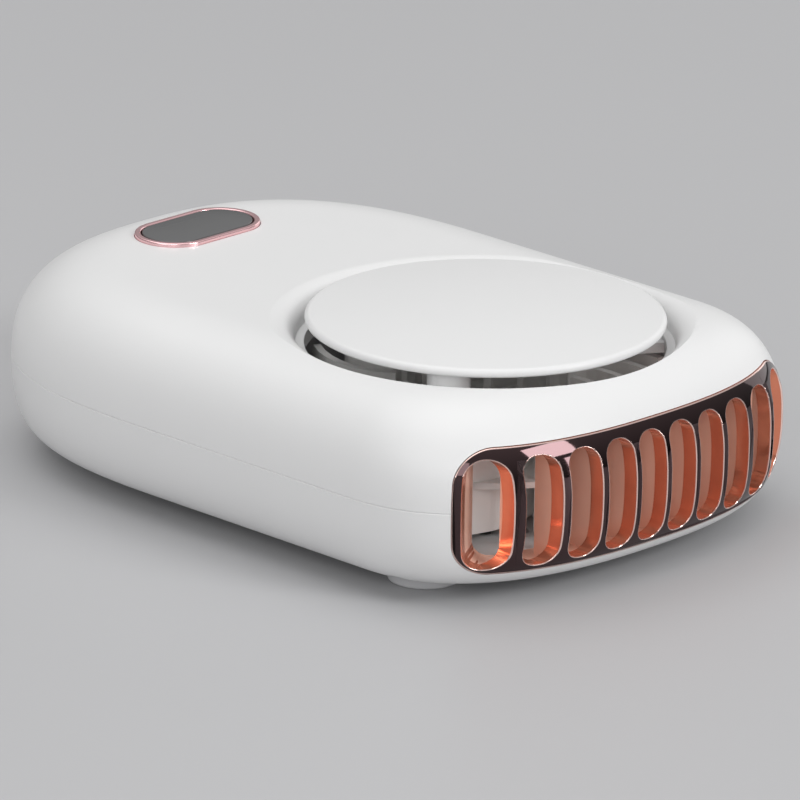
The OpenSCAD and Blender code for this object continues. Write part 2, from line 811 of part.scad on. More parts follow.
module motor_screws() color("silver") at_fan() motor_screw_places() {
    disc(motor_screw_radius, base_top - motor_screw_length, base_top + weld);
    disc(motor_screw_head, base_top, base_top + motor_screw_head_height);
}

module thrust_washer() color("ivory") at_fan()
    disc(bearing_radius - fit_gap, base_top, base_top + washer_wall);

module lower_bearing() color("peru") at_fan()
    ring(bearing_bore, bearing_radius, base_top + washer_wall, base_top + washer_wall + bearing_height);

module upper_bearing() color("peru") at_fan()
    ring(bearing_bore, bearing_radius, tube_top - bearing_height, tube_top);

// One tooth of the stator: a neck that runs out of the hub and a curved tip
module stator_tooth() {
    neck_start = (tube_radius + stator_hub) / 2;
    neck_end = stator_radius - tooth_tip / 2;
    tip_angle = (full_turn / stator_teeth - tip_gap_angle) / 2;
    translate([neck_start, -tooth_neck / 2]) square([neck_end - neck_start, tooth_neck]);
    polygon(concat([for (i = [-tip_steps:tip_steps]) let (a = tip_angle * i / tip_steps)
            stator_radius * [cos(a), sin(a)]],
        [for (i = [tip_steps:-1:-tip_steps]) let (a = tip_angle * i / tip_steps)
            (stator_radius - tooth_tip) * [cos(a), sin(a)]]));
}

module stator_core() color("slategray") at_fan() translate([0, 0, stator_bottom])
    linear_extrude(stator_top - stator_bottom) {
        difference() {
            circle(r = stator_hub);
            circle(r = tube_radius);
        }
        for (i = [0:stator_teeth - 1]) rotate([0, 0, i * full_turn / stator_teeth]) stator_tooth();
    }

module stator_coils() color("chocolate") at_fan() for (i = [0:stator_teeth - 1])
    rotate([0, 0, i * full_turn / stator_teeth]) {
        length = stator_radius - tooth_tip - stator_hub - 2 * fit_gap;
        height = stator_top - stator_bottom;
        translate([(stator_radius - tooth_tip + stator_hub) / 2, 0, 0]) difference() {
            translate([0, 0, stator_bottom - coil_wall / 2]) linear_extrude(height + coil_wall)
                square([length, tooth_neck + coil_wall], center = true);
            translate([0, 0, stator_bottom]) linear_extrude(height)
                square([length + 2 * overrun, tooth_neck], center = true);
        }
    }

module motor_shaft() color("silver") at_fan() disc(shaft_radius, shaft_bottom, shaft_top);

module magnet_ring() color([0.25, 0.25, 0.27]) at_fan()
    ring(magnet_inner, magnet_outer, magnet_bottom, cup_top - cup_wall);

module rotor_cup() color("silver") at_fan() {
    ring(magnet_outer, hub_inner, cup_bottom, cup_top);
    ring(shaft_radius, magnet_outer + weld, cup_top - cup_wall, cup_top);
}

// One blade seen from above: it leaves the hub and sweeps back as it nears the tip
module blade_outline() {
    inner = hub_outer - weld;
    reach = impeller_radius - blade_wall / 2 - inner;
    function middle(i) = let (share = i / blade_steps, r = inner + reach * share,
        a = -blade_sweep * pow(share, blade_curl)) [r * cos(a), r * sin(a)];
    function along(i) = let (d = middle(min(i + 1, blade_steps)) - middle(max(i - 1, 0))) d / norm(d);
    function side(i, sign) = middle(i) + sign * blade_wall / 2 * [-along(i)[1], along(i)[0]];
    polygon(concat([for (i = [0:blade_steps]) side(i, -1)], [for (i = [blade_steps:-1:0]) side(i, 1)]));
}

module impeller() color([0.88, 0.88, 0.86]) at_fan() {
    ring(hub_inner, hub_outer, cup_bottom, hub_top);
    ring(shaft_radius, hub_inner + weld, cup_top, hub_top);
    ring(hub_outer - weld, impeller_radius, plate_bottom, plate_bottom + plate_wall);
    intersection() {
        union() for (i = [0:blade_count - 1]) rotate([0, 0, i * full_turn / blade_count])
            translate([0, 0, blade_bottom]) linear_extrude(blade_top - blade_bottom) blade_outline();
        disc(impeller_radius, blade_bottom, blade_top);
    }
}

front_shell();
rear_shell();
outlet_grille();
intake_cover();
button_trim();
power_button();
switch_plunger();
switch_body();
circuit_board();
board_chips();
board_screws();
charging_socket();
socket_tongue();
battery_cell();
battery_pad();
shell_screws();
foot_pads();
strap_pin();
motor_base();
motor_board();
motor_screws();
thrust_washer();
lower_bearing();
upper_bearing();
stator_core();
stator_coils();
motor_shaft();
magnet_ring();
rotor_cup();
impeller();
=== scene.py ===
# %% [markdown]
# # A pocket neck fan
# This lesson dresses the CAD model of a small fan that hangs on the chest or lies on a desk.
# The CAD solids are exact but faceted. The pieces that show are modelled again here, finer and
# with soft edges, in the same place. The hidden ones keep their CAD mesh and get a good finish.

# %% Load the CAD frame
import math
import bpy
import bmesh
from mathutils import Matrix, Vector
from mathutils.kdtree import KDTree


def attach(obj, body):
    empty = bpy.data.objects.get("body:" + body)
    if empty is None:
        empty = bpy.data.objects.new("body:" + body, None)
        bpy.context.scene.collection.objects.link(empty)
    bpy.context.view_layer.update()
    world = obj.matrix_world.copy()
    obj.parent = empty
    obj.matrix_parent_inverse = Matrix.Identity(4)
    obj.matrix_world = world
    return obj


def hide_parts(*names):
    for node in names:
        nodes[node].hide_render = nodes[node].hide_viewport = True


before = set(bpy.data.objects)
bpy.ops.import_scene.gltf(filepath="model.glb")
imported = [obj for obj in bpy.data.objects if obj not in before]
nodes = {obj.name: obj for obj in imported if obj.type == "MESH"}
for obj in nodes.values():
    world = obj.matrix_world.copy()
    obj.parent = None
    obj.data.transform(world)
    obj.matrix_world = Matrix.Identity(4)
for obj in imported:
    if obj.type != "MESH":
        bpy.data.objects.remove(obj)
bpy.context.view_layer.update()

# %% [markdown]
# ## The camera
# The photograph is a long-lens picture, so the camera stands far off and zooms in. Its angles
# were worked out from the outline of the fan. It could be placed by eye and nudged, but a
# direction, a distance and a tilt written as numbers are easier to repeat.

# %% Place the camera
AIM = Vector((-0.00571, -0.008925, 0.0145))
AZIMUTH, ELEVATION, TILT = -45.46, 18.59, 0.80
DISTANCE = 1.2
LENS = 421.8

turn = Matrix.Rotation(math.radians(AZIMUTH), 4, "Z")
nod = Matrix.Rotation(math.radians(90 - ELEVATION), 4, "X")
roll = Matrix.Rotation(math.radians(TILT), 4, "Z")
back_off = Matrix.Translation((0, 0, DISTANCE))
bpy.ops.object.camera_add()
camera = bpy.context.object
camera.name = "photo_camera"
camera.matrix_world = Matrix.Translation(AIM) @ turn @ nod @ roll @ back_off
camera.data.lens = LENS
bpy.context.scene.camera = camera
print("camera at", [round(c, 3) for c in camera.matrix_world.translation])

# %% [markdown]
# ## The floor and the light
# A pale floor and soft light show form without hard shadows. A big lamp overhead and one on the
# left do most of the work, and a lower one lifts the near side. Bright plating is seen mostly by
# what it mirrors, so three more lamps stand where the grille shows them: one before the outlet,
# a narrow strip beside it and a card on the right. The world, darker low down, fills the rest.

# %% Floor
FLOOR_SIZE = 8


def deselect():
    """Nothing selected, so that the next operator touches only what it should."""
    bpy.ops.object.select_all(action="DESELECT")


deselect()
bpy.ops.mesh.primitive_plane_add(size=FLOOR_SIZE, location=(0, 0, 0))
floor = bpy.context.object
floor.name = "floor"
print("floor", tuple(floor.dimensions))

# %% Lamps
FAN_MIDDLE = (0, 0, 0.01)


def lamp(name, place, target, width, height, power):
    """An oblong area lamp at a place, turned towards a target."""
    bpy.ops.object.light_add(type="AREA", location=place)
    light = bpy.context.object
    light.name = name
    light.rotation_euler = (Vector(target) - Vector(place)).to_track_quat("-Z", "Y").to_euler()
    light.data.shape = "RECTANGLE"
    light.data.size = width
    light.data.size_y = height
    light.data.energy = power


lamp("top_lamp", (-0.1, 0.25, 1.1), (0, 0, 0), width=1.1, height=1.1, power=4.1)
lamp("side_lamp", (-1.1, -0.2, 0.62), FAN_MIDDLE, width=0.7, height=0.7, power=2.5)
lamp("low_lamp", (-0.85, -0.80, 0.50), FAN_MIDDLE, width=0.5, height=0.4, power=1.9)
lamp("front_lamp", (0.26, -1.09, 0.66), FAN_MIDDLE, width=0.41, height=0.36, power=4.6)
lamp("strip_lamp", (0.40, -1.16, 0.20), FAN_MIDDLE, width=0.10, height=0.42, power=1.2)
lamp("right_card", (1.0, 0.09, 0.28), FAN_MIDDLE, width=0.7, height=0.5, power=1.0)

# %% World
WORLD_LOW, WORLD_HIGH = 0.1, 0.62
HIGH_FROM = 0.8

world = bpy.data.worlds.new("studio")
bpy.context.scene.world = world
world.use_nodes = True
sky = world.node_tree
backdrop = sky.nodes["Background"]
backdrop.inputs["Color"].default_value = (1, 1, 1, 1)
direction = sky.nodes.new("ShaderNodeTexCoord")
parts = sky.nodes.new("ShaderNodeSeparateXYZ")
brightness = sky.nodes.new("ShaderNodeMapRange")
brightness.inputs["From Max"].default_value = HIGH_FROM
brightness.inputs["To Min"].default_value = WORLD_LOW
brightness.inputs["To Max"].default_value = WORLD_HIGH
sky.links.new(direction.outputs["Generated"], parts.inputs["Vector"])
sky.links.new(parts.outputs["Z"], brightness.inputs["Value"])
sky.links.new(brightness.outputs["Result"], backdrop.inputs["Strength"])
bpy.context.scene.view_settings.view_transform = "Standard"
print("world from", WORLD_LOW, "at the horizon to", WORLD_HIGH, "above")

# %% [markdown]
# ## Finishes
# Every finish is a small node tree: noise on the object's own coordinates varies the colour
# and the roughness a little, and a finer noise gives the surface its grain. A flat colour
# would look like paint in a drawing program.

# %% A helper for finishes
COLOUR_DETAIL, ROUGH_DETAIL, GRAIN_DETAIL = 3, 4, 2
ROUGH_FINER = 2.7


def finish(name, colour, roughness, metallic=0.0, tint=0.03, spread=0.05, patch=160, grain=2600,
           relief=0.000006, coat=0.0, stretch=(1, 1, 1)):
    """A Principled material: its colour varies by tint and its roughness by spread, in patches,
    and its surface has a grain as high as relief. Patch and grain are scales per metre."""
    material = bpy.data.materials.new(name)
    material.use_nodes = True
    tree = material.node_tree
    shader = tree.nodes["Principled BSDF"]
    shader.inputs["Metallic"].default_value = metallic
    shader.inputs["Coat Weight"].default_value = coat
    where = tree.nodes.new("ShaderNodeTexCoord")
    stretched = tree.nodes.new("ShaderNodeMapping")
    stretched.inputs["Scale"].default_value = stretch
    tree.links.new(where.outputs["Object"], stretched.inputs["Vector"])

    def noise(scale, detail):
        texture = tree.nodes.new("ShaderNodeTexNoise")
        texture.inputs["Scale"].default_value = scale
        texture.inputs["Detail"].default_value = detail
        tree.links.new(stretched.outputs["Vector"], texture.inputs["Vector"])
        return texture.outputs["Fac"]

    mix = tree.nodes.new("ShaderNodeMix")
    mix.data_type = "RGBA"
    mix.inputs["A"].default_value = (*[c * (1 - tint) for c in colour], 1)
    mix.inputs["B"].default_value = (*[min(1, c * (1 + tint)) for c in colour], 1)
    tree.links.new(noise(patch, COLOUR_DETAIL), mix.inputs["Factor"])
    tree.links.new(mix.outputs["Result"], shader.inputs["Base Color"])
    rough = tree.nodes.new("ShaderNodeMapRange")
    rough.inputs["To Min"].default_value = max(0, roughness - spread)
    rough.inputs["To Max"].default_value = roughness + spread
    tree.links.new(noise(patch * ROUGH_FINER, ROUGH_DETAIL), rough.inputs["Value"])
    tree.links.new(rough.outputs["Result"], shader.inputs["Roughness"])
    if relief:
        bump = tree.nodes.new("ShaderNodeBump")
        bump.inputs["Strength"].default_value = 1
        bump.inputs["Distance"].default_value = relief
        tree.links.new(noise(grain, GRAIN_DETAIL), bump.inputs["Height"])
        tree.links.new(bump.outputs["Normal"], shader.inputs["Normal"])
    return material


pale_floor = finish("pale_floor", (0.50, 0.50, 0.51), 0.5, tint=0.01, patch=3, relief=0)
floor.data.materials.append(pale_floor)
print("floor finish", pale_floor.name)

# %% Plastics and rubber that show
white = finish("white_satin", (0.80, 0.80, 0.80), 0.38, tint=0.006)
cover_white = finish("cover_satin", (0.81, 0.81, 0.81), 0.36, tint=0.006)
button_gloss = finish("button_gloss", (0.115, 0.115, 0.117), 0.07,
                      tint=0.05, spread=0.02, relief=0)
fan_plastic = finish("fan_plastic", (0.94, 0.93, 0.91), 0.4, tint=0.02)
rubber = finish("foot_rubber", (0.75, 0.75, 0.76), 0.55, tint=0.05, relief=0.00001)
print("plastics", white.name, cover_white.name, button_gloss.name, fan_plastic.name, rubber.name)

# %% [markdown]
# Plating mirrors the room. In the photograph it mirrors a dark floor, so its face looks nearly
# black, and only its edges and the slots' walls glow pink and copper. Over this pale floor one
# plated metal would come out pink all over, so light is painted into the colours instead: the
# face gets a dark metal, a painted reflection of the dark floor, and the edges, the slots' walls
# and the vanes get brighter copies of the plating, a painted highlight and painted light.

# %% Platings
# Dark metal for the grille's face: a painted reflection of a dark floor, far darker than the plating's
# own colour.
rose_face_painted_dark = finish("rose_plating", (0.062, 0.034, 0.036), 0.05,
              metallic=1, tint=0.02, spread=0.02, relief=0, coat=0.4)
# A brighter copy of the plating for the bevels: a painted highlight along every rim.
edge_rose_painted_highlight = finish("plated_edges_painted_highlight", (0.95, 0.70, 0.64), 0.18,
                   metallic=1, tint=0.02, spread=0.03, relief=0)
# A brighter, less metallic copy of the plating for the slots' walls: painted light, standing in for
# the light that the walls catch.
copper_rose_painted_light = finish("tunnel_plating_painted_light", (0.90, 0.30, 0.18), 0.14,
                     metallic=0.7, tint=0.22, patch=260, relief=0)
# A brighter, nearly matt copy of the plating for the vanes behind the slots: painted light.
vane_plating_painted_light = finish("vane_plating_painted_light", (0.98, 0.58, 0.45), 0.22,
                      metallic=0.15, tint=0.12, spread=0.06, relief=0)
pink = finish("pink_plating", (0.98, 0.62, 0.64), 0.2,
              metallic=0.9, tint=0.02, spread=0.03, relief=0)
print("platings", rose_face_painted_dark.name, edge_rose_painted_highlight.name, copper_rose_painted_light.name, vane_plating_painted_light.name, pink.name)

# %% Finishes of the pieces inside
steel = finish("turned_steel", (0.58, 0.58, 0.59), 0.3, metallic=1, stretch=(1, 1, 14))
sheet_steel = finish("sheet_steel", (0.5, 0.5, 0.51), 0.35, metallic=1, stretch=(12, 1, 1))
black = finish("black_plastic", (0.02, 0.02, 0.021), 0.45, tint=0.2)
board = finish("board_lacquer", (0.02, 0.16, 0.07), 0.3, tint=0.25, patch=700)
chip = finish("chip_black", (0.03, 0.03, 0.033), 0.55, tint=0.2)
foil = finish("battery_foil", (0.66, 0.68, 0.71), 0.34, metallic=1, patch=400, relief=0.00002)
foam = finish("foam", (0.06, 0.06, 0.06), 0.9, tint=0.3, grain=1800, relief=0.0001)
brass = finish("brass", (0.75, 0.55, 0.26), 0.28, metallic=1)
bronze = finish("sintered_bronze", (0.5, 0.32, 0.18), 0.5, metallic=1, tint=0.15, grain=4000)
nylon = finish("washer_nylon", (0.8, 0.77, 0.66), 0.45)
core = finish("core_sheets", (0.3, 0.31, 0.33), 0.45, metallic=1, stretch=(1, 1, 40))
wire = finish("copper_wire", (0.55, 0.2, 0.08), 0.25,
              metallic=1, stretch=(1, 1, 30), relief=0.00003)
magnet = finish("magnet", (0.1, 0.1, 0.105), 0.6, tint=0.15)
print("finishes in all", len(bpy.data.materials))

# %% [markdown]
# ## One way to make every moulded form
# The body is a lozenge whose outline is two half superellipses with straight sides between,
# and whose edges lean in on a superellipse too. A designer could loft splines, or subdivide a
# box until it fits. Here a circle is extruded upwards, one ring for each level, and every ring
# is then moved to the outline at its height, which gives an even grid and exact tangents.

# %% A tower of rings
MM = 0.001


def tower(name, levels, place, points=96, material=None):
    """Extrudes a circle once for each level, then moves each point to place(angle, level)."""
    deselect()
    bpy.ops.mesh.primitive_circle_add(vertices=points, radius=1, fill_type="NGON")
    piece = bpy.context.object
    piece.name = name
    bpy.ops.object.mode_set(mode="EDIT")
    for _ in levels[1:]:
        bpy.ops.mesh.extrude_region_move(TRANSFORM_OT_translate={"value": (0, 0, 1)})
    bpy.ops.object.mode_set(mode="OBJECT")
    for vertex in piece.data.vertices:
        angle = math.atan2(vertex.co.y, vertex.co.x)
        vertex.co = Vector(place(angle, levels[round(vertex.co.z)])) * MM
    bpy.ops.object.mode_set(mode="EDIT")
    bpy.ops.mesh.select_all(action="SELECT")
    bpy.ops.mesh.normals_make_consistent(inside=False)
    bpy.ops.object.mode_set(mode="OBJECT")
    if material:
        piece.data.materials.append(material)
    return piece


# %% Cut, smooth and hand over
def pick(piece):
    """Makes one piece the selected and active one."""
    deselect()
    piece.select_set(True)
    bpy.context.view_layer.objects.active = piece


def cut(piece, tool, operation="DIFFERENCE"):
    """A boolean modifier, applied. The tool is removed, and its finish stays on its faces."""
    pick(piece)
    boolean = piece.modifiers.new("cut", "BOOLEAN")
    boolean.operation = operation
    boolean.solver = "EXACT"
    boolean.material_mode = "TRANSFER"
    boolean.object = tool
    bpy.ops.object.modifier_apply(modifier="cut")
    bpy.data.objects.remove(tool)


def smooth(piece, angle=30):
    """Smooth shading up to an angle, with flat faces keeping their own direction."""
    pick(piece)
    bpy.ops.object.shade_smooth_by_angle(angle=math.radians(angle))
    weigh = piece.modifiers.new("weigh", "WEIGHTED_NORMAL")
    weigh.keep_sharp = True
    bpy.ops.object.modifier_apply(modifier="weigh")


def settle(piece, body, slot, *stands_for):
    """Hands a finished piece to its body and hides the CAD nodes that it replaces; the slot is not
    used.
    """
    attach(piece, body)
    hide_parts(*stands_for)
    print(piece.name, len(piece.data.polygons), "faces")


# %% [markdown]
# ## The body's outline
# Lengths are in millimetres from here on. Heights are measured from the underside of the body,
# which its feet lift off the table. A level of the body is a height and an inset: how far the
# outline has shrunk there. ROUND is how far an end's curve runs along Y, SQUARE and FULL say
# how boxy a curve is (2 is a plain ellipse), and REACH is how far an edge leans in.

# %% The outline
FOOT = 2.5
FRONT_Y, BACK_Y = -50.925, 51.075
HALF_WIDTH, HEIGHT, PARTING = 35, 23.7, 10.8
FRONT_ROUND, FRONT_SQUARE = 22.9, 2.46
BACK_ROUND, BACK_SQUARE = 41.9, 2.61
TOP_REACH, TOP_FULL = 13, 2.32
BOTTOM_REACH, BOTTOM_FULL = 6, 2.6
WALL, SEAM, FIT = 1.6, 0.12, 0.1
RING_POINTS, TOP_ROWS, BOTTOM_ROWS = 192, 28, 22
INNER_TOP_ROWS, INNER_BOTTOM_ROWS = 14, 12


def outline(angle, level):
    """The point of the body's outline at an angle, for a level of (height, inset)."""
    height, inset = level
    c, s = math.cos(angle), math.sin(angle)
    square = BACK_SQUARE if s >= 0 else FRONT_SQUARE
    x = math.copysign((HALF_WIDTH - inset) * abs(c) ** (2 / square), c)
    if s >= 0:
        y = BACK_Y - BACK_ROUND + (BACK_ROUND - inset) * s ** (2 / square)
    else:
        y = FRONT_Y + FRONT_ROUND - (FRONT_ROUND - inset) * (-s) ** (2 / square)
    return x, y, height + FOOT


def edge_levels(start, end, reach, full, count, first=0):
    """Heights and insets on an edge curve from the parting line to end, leaning in to reach."""
    levels = []
    for i in range(count + 1):
        t = math.radians(90 * i / count)
        height = PARTING + (end - PARTING) * math.sin(t) ** (2 / full)
        inset = start + (reach - start) * (1 - math.cos(t) ** (2 / full))
        levels.append((height, inset))
    if first:
        levels[0] = (PARTING + math.copysign(first, end - PARTING), start)
        levels.insert(0, (PARTING, start + first))
    return levels


print("outline at the outlet", outline(math.radians(-90), (PARTING, 0)))

# %% [markdown]
# ## The cutters that several pieces share
# The outlet's frame, the dished intake and the oval button all cut the shells, and each cut
# has to match the piece that fills it. Each cutter is therefore made by one function. A cutter
# runs a millimetre or two past what it cuts, so that no thin skin is left.

# %% Round towers
FAN_Y = FRONT_Y + 32.5


def round_tower(name, levels, points=96, centre=(0, FAN_Y), material=None):
    """A tower of plain circles: each level is (height, radius)."""
    def place(angle, level):
        return (centre[0] + level[1] * math.cos(angle), centre[1] + level[1] * math.sin(angle),
                level[0] + FOOT)
    return tower(name, levels, place, points, material)


def column(name, radius, low, high, points, centre=(0, FAN_Y), material=None):
    """A straight round tower from one height to another."""
    return round_tower(name, [(low, radius), (high, radius)], points, centre, material)


print("fan axis at y", FAN_Y)

# %% Oval towers for the button
BUTTON_Y = BACK_Y - 16.7


def oval_tower(name, levels, points=96, material=None):
    """A tower of straight-sided ovals round the button: each level is (height, length, width)."""
    def place(angle, level):
        height, length, width = level
        x = math.copysign((length - width) / 2, math.cos(angle)) + width / 2 * math.cos(angle)
        return x, BUTTON_Y + width / 2 * math.sin(angle), height + FOOT
    return tower(name, levels, place, points, material)


def oval_column(name, size, low, high, points=96, material=None):
    """A straight oval tower from one height to another."""
    return oval_tower(name, [(low, *size), (high, *size)], points, material)


def grown(size, gap):
    """A length and a width, with a gap added at both ends of each."""
    return size[0] + 2 * gap, size[1] + 2 * gap


print("button at y", round(BUTTON_Y, 3))


# %% Boxes, and pieces joined in one
def box_tool(name, size, centre, material=white):
    """A cube at its size and place, for cutting."""
    deselect()
    bpy.ops.mesh.primitive_cube_add(size=1, location=[c * MM for c in centre],
                                    scale=[c * MM for c in size])
    piece = bpy.context.object
    piece.name = name
    bpy.ops.object.transform_apply(location=True, rotation=True, scale=True)
    piece.data.materials.append(material)
    return piece


def joined(pieces):
    """Joins separate pieces into one object."""
    deselect()
    for piece in pieces:
        piece.select_set(True)
    bpy.context.view_layer.objects.active = pieces[0]
    bpy.ops.object.join()
    return pieces[0]


# %% Where the outlet's slots and its frame lie
SLOTS, PITCH, SLOT_WIDTH = 10, 5.38, 4.42
SPREAD, WIDEN = 0.0044, 0.009
SLOT_LOW, SLOT_HEIGHT, SLOT_CORNER = 3.1, 14.3, 0.44
LAST = (SLOTS - 1) / 2
GRILLE_LOW, GRILLE_HIGH, GRILLE_CORNER = 2.3, 18.7, 4.3
END_RAIL, END_BACK, END_TURN, END_REACH = 1.2, 8.7, math.radians(58), 0.48
SCREW_FRONT, SCREW_BACK, SCREW_POST = (29.5, FRONT_Y + 17.5), (17.5, BACK_Y - 7), 2.6
OUTLET_FRONT = FRONT_Y - 3
OUTLET_BACK = SCREW_FRONT[1] - SCREW_POST - FIT


def slot_middle(u):
    """Where a slot lies across the outlet, for a count of slots from the middle."""
    return PITCH * u * (1 + SPREAD * u * u)


def slot_edge(u, side):
    """The left (-1) or right (1) edge of a slot."""
    return slot_middle(u) + side * SLOT_WIDTH * (1 + WIDEN * u * u) / 2


GRILLE_HALF = slot_edge(LAST, 1) + END_REACH + END_RAIL * math.cos(END_TURN)
print("grille window is", round(GRILLE_HIGH - GRILLE_LOW, 1), "mm high")


# %% Rounded oblongs
CORNER_STEPS, SLOT_STEPS = 16, 10


def rounded_ring(half_width, half_height, corner, steps):
    """Points of a rounded oblong round its middle, steps of them on each corner."""
    ring = []
    for quarter, (side, up) in enumerate(((1, 1), (-1, 1), (-1, -1), (1, -1))):
        for i in range(steps):
            a = math.radians(90 * (quarter + i / (steps - 1)))
            ring.append((side * (half_width - corner) + corner * math.cos(a),
                         up * (half_height - corner) + corner * math.sin(a)))
    return ring


def ring_point(ring, angle):
    """The point of a drawn ring that an angle on the tower's circle stands for."""
    return ring[round((angle - math.pi / 2) % math.tau / math.tau * len(ring)) % len(ring)]


print("a slot's ring has", 4 * SLOT_STEPS, "points and the frame's", 4 * CORNER_STEPS)


# %% Cutters for the outlet's end
def through_outlet(name, ring, middle, material):
    """Pushes a ring, drawn across and up, through the outlet's end along Y."""
    def place(angle, y):
        across, up = ring_point(ring, angle)
        return middle[0] + across, y, middle[1] + up + FOOT
    return tower(name, [OUTLET_FRONT, OUTLET_BACK], place, len(ring), material)


def between_ends(piece, rail, low, high, corner, material):
    """Keeps what lies between the frame's two ends, which are cut square to the face there."""
    reach = 2 * GRILLE_HALF
    ring = rounded_ring(reach / 2, (high - low) / 2, corner, CORNER_STEPS)
    c, s = math.cos(END_TURN), math.sin(END_TURN)
    for side in (-1, 1):
        def place(angle, along):
            across, up = ring_point(ring, angle)
            across -= rail + reach / 2
            return (side * (GRILLE_HALF + across * c - along * s),
                    FRONT_Y + END_BACK + across * s + along * c, (low + high) / 2 + up + FOOT)
        end = tower("end", [-reach, reach], place, len(ring), material)
        cut(piece, end, "INTERSECT")


def grille_window(gap, material):
    """The space that the outlet's frame fills, grown by a gap all round."""
    block = box_tool("window", (2 * HALF_WIDTH, OUTLET_BACK - OUTLET_FRONT, HEIGHT),
                     (0, (OUTLET_BACK + OUTLET_FRONT) / 2, HEIGHT / 2 + FOOT), material)
    between_ends(block, -gap, GRILLE_LOW - gap, GRILLE_HIGH + gap, GRILLE_CORNER + gap, material)
    return block


print("the outlet's cutters run from y", OUTLET_FRONT, "to", round(OUTLET_BACK, 3))

# %% [markdown]
# ## The front shell
# This is the white upper half with the dished air intake. The real one is a thin moulding, so
# it is made like one: the full form, less a hollow one wall smaller, with the dish's own wall
# and the screw posts left standing in it. The dish then cuts through, with a rounded lip, a
# flat ledge and a short throat. Two tiny chamfers at the parting line give the shadow line
# between the shells.

# %% The intake's profile
DISH_DEPTH, DISH_REACH, DISH_WALL = 2.95, 3.8, 1.2
THROAT, THROAT_DEPTH, LEDGE, LEDGE_RIM = 23.1, 1.9, 1.15, 0.15
LIP_STEPS, LIP_OVER = 20, 0.01
DISH_BOTTOM = HEIGHT - DISH_DEPTH
THROAT_BOTTOM = DISH_BOTTOM - THROAT_DEPTH


def dish_levels(grow, low, high):
    """The intake's profile from low to high: throat, ledge and rounded lip, grown by a wall."""
    bottom, throat, ledge = DISH_BOTTOM - grow, THROAT + grow, THROAT + LEDGE + grow
    levels = [(low, throat), (bottom - LEDGE_RIM, throat),
              (bottom - LEDGE_RIM / 4, throat + LEDGE_RIM / 4), (bottom, throat + LEDGE_RIM),
              (bottom, ledge)]
    for i in range(LIP_STEPS, -1, -1):
        t = math.radians(90 * i / LIP_STEPS)
        levels.append((bottom + DISH_DEPTH * math.cos(t) + LIP_OVER,
                       ledge + DISH_REACH * (1 - math.sin(t))))
    levels.append((high, ledge + DISH_REACH))
    return levels


print("the dish is", DISH_DEPTH, "mm deep and", 2 * (THROAT + LEDGE + DISH_REACH), "mm across")

# %% Front shell form
TRIM, BAND = (18.8, 10.5), 0.8
PAD_DEPTH = 2.4
BOARD_TOP, BOSS = 15, 2.2
BOARD_BOSSES = [(x, y) for x in (-15.8, 15.8) for y in (15.975, 35.5)]
SCREW_POSTS = [(x * side, y) for side in (-1, 1) for x, y in (SCREW_FRONT, SCREW_BACK)]

skin_levels = edge_levels(0, HEIGHT, TOP_REACH, TOP_FULL, TOP_ROWS, SEAM)
front = tower("front_shell_skin", skin_levels, outline, RING_POINTS, white)
inner_levels = edge_levels(WALL, HEIGHT - WALL, TOP_REACH, TOP_FULL, INNER_TOP_ROWS)
hollow = tower("hollow", [(PARTING - 1, WALL)] + inner_levels, outline, RING_POINTS, white)
cut(hollow, round_tower("dish_outside", dish_levels(DISH_WALL, THROAT_BOTTOM, HEIGHT + 2), points=128))
for post in SCREW_POSTS:
    cut(hollow, column("post", SCREW_POST, PARTING - 2, HEIGHT + 1, points=32, centre=post))
for boss in BOARD_BOSSES:
    cut(hollow, column("boss", BOSS, BOARD_TOP, HEIGHT + 1, points=32, centre=boss))
cut(hollow, oval_column("pad", grown(TRIM, WALL), HEIGHT - PAD_DEPTH, HEIGHT + 1))
cut(front, hollow)
print("front shell hollowed", len(front.data.polygons))

# %% Cut the intake, the outlet, the button's recess and the screw holes
TRIM_DEPTH, WELL_DEPTH = 1, 5
THREAD_HOLE, THREAD_TOP = 1, 14
BOSS_HOLE, BOSS_HOLE_TOP = 0.8, 18.4

dish = round_tower("dish", dish_levels(0, THROAT_BOTTOM - 1, HEIGHT + 2), points=128, material=white)
cut(front, dish)
cut(front, grille_window(FIT, white))
cut(front, oval_column("trim_seat", grown(TRIM, FIT), HEIGHT - TRIM_DEPTH, HEIGHT + 1,
                       material=white))
cut(front, oval_column("button_well", grown(TRIM, -BAND), HEIGHT - WELL_DEPTH, HEIGHT + 1,
                       material=white))
for post in SCREW_POSTS:
    cut(front, column("thread_hole", THREAD_HOLE, PARTING - 1, THREAD_TOP, points=24,
                      centre=post, material=white))
for boss in BOARD_BOSSES:
    cut(front, column("boss_hole", BOSS_HOLE, BOARD_TOP - 1, BOSS_HOLE_TOP, points=20,
                      centre=boss, material=white))
print("front shell cut", len(front.data.polygons))

# %% The charging socket's hole in the end wall
SOCKET_MIDDLE = BOARD_TOP + 1.6
SOCKET_HALF_WIDTH, SOCKET_HALF_HEIGHT, SOCKET_CORNER = 4.55, 1.7, 1.54


def socket_hole():
    """A rounded oblong, pushed through the end wall along Y."""
    def reach(half, share):
        return math.copysign(half - SOCKET_CORNER, share) + SOCKET_CORNER * share

    def place(a, y):
        return (reach(SOCKET_HALF_WIDTH, math.cos(a)), y,
                SOCKET_MIDDLE + reach(SOCKET_HALF_HEIGHT, math.sin(a)) + FOOT)
    return tower("socket_hole", [BACK_Y - 9, BACK_Y + 1], place, 64, white)


cut(front, socket_hole())
print("socket hole", 2 * SOCKET_HALF_WIDTH, "by", 2 * SOCKET_HALF_HEIGHT, "mm")

# %% Lugs that carry the cover's posts
POST_ANGLES = (90, 210, 330)
POST_CIRCLE, POST_RADIUS = 18.7, 2.75
LUG_TOP = DISH_BOTTOM - 0.6
LUG_RADIUS, LUG_LENGTH, LUG_IN_WALL = 3.35, 6, 0.6


